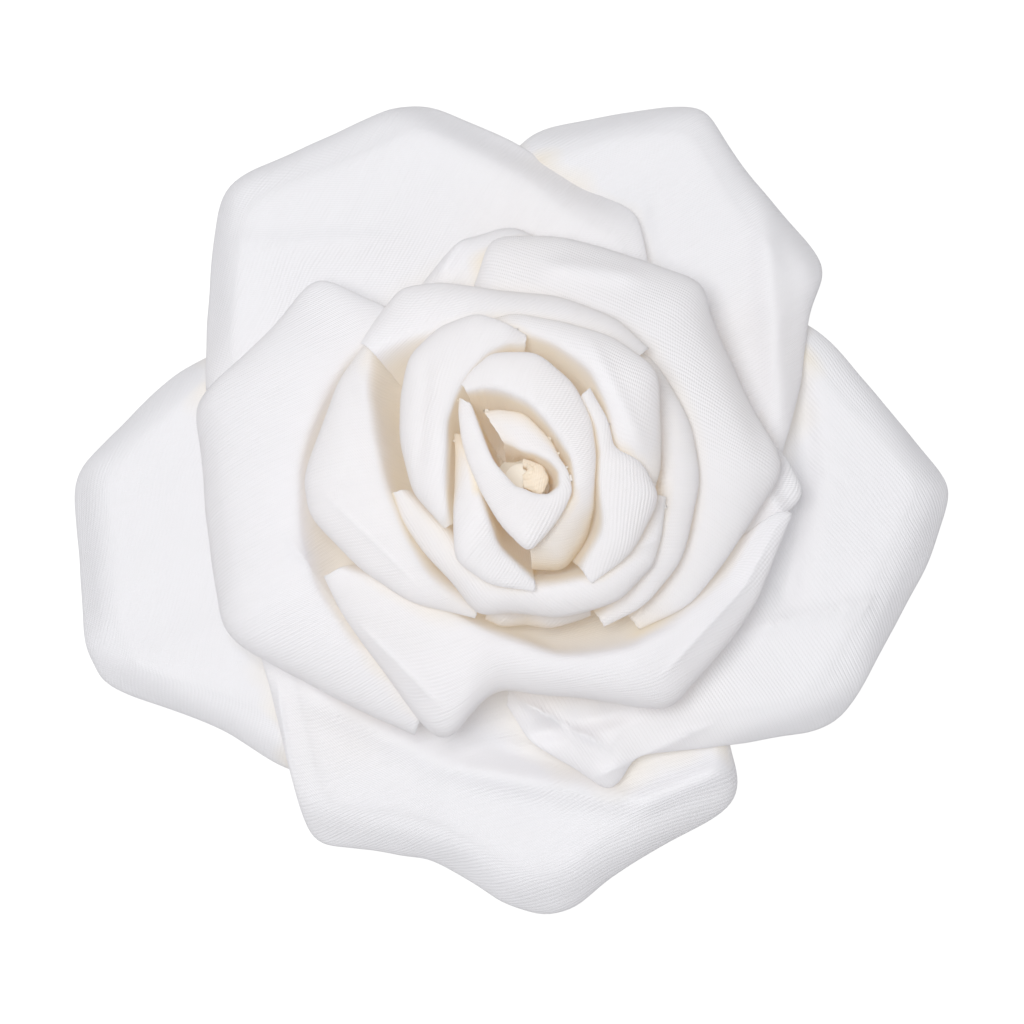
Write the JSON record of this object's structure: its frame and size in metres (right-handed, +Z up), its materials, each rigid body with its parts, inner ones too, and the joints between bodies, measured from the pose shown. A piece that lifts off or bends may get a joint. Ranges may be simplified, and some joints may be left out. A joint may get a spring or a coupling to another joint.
{
  "type": "flower hair clip",
  "caption": "Ivory satin rose of overlapping heat-curled petals on a stem and felt pad, glued to a sprung alligator hair clip with a toothed jaw.",
  "frame": {"origin": "centre of the bounding box at its lowest level, which is the end of the clip's moving handle", "axes": "+Z up the flower's axis, out of its face; +X along the clip towards the tip of its jaw; +Y towards the flower's upper rim"},
  "size_m": [0.0986, 0.0914, 0.0471],
  "materials": {
    "satin": "ivory satin, soft sheen, fine twill lines",
    "moulded_stem": "matt cream moulding",
    "felt": "white craft felt",
    "hot_glue": "milky hot glue",
    "clip_steel": "nickel plated sheet steel",
    "pin_steel": "nickel plated rivet",
    "spring_wire": "drawn spring wire"
  },
  "bodies": {
    "flower": {"outer_petal_1": "satin", "outer_petal_2": "satin", "outer_petal_3": "satin", "outer_petal_4": "satin", "outer_petal_5": "satin", "middle_petal_1": "satin", "middle_petal_2": "satin", "middle_petal_3": "satin", "middle_petal_4": "satin", "middle_petal_5": "satin", "inner_petal_1": "satin", "inner_petal_2": "satin", "inner_petal_3": "satin", "inner_petal_4": "satin", "inner_petal_5": "satin", "bud_petal_1": "satin", "bud_petal_2": "satin", "bud_petal_3": "satin", "bud_petal_4": "satin", "core_petal_1": "satin", "core_petal_2": "satin", "core_petal_3": "satin", "flower_stem": "moulded_stem", "felt_pad": "felt", "glue_layer": "hot_glue", "clip_arm": "clip_steel", "hinge_pin": "pin_steel", "clip_spring": "spring_wire"},
    "jaw": {"clip_jaw": "clip_steel"}
  },
  "joints": [
    {"name": "jaw_hinge", "type": "hinge", "parent": "flower", "child": "jaw", "pos_m": [-0.004, 0, 0.0069], "axis": [0, 1, 0], "range_deg": [0, 25], "stiffness_Nm_per_rad": 0.12, "springref_deg": -45.84, "deforming": ["clip_spring"]}
  ]
}
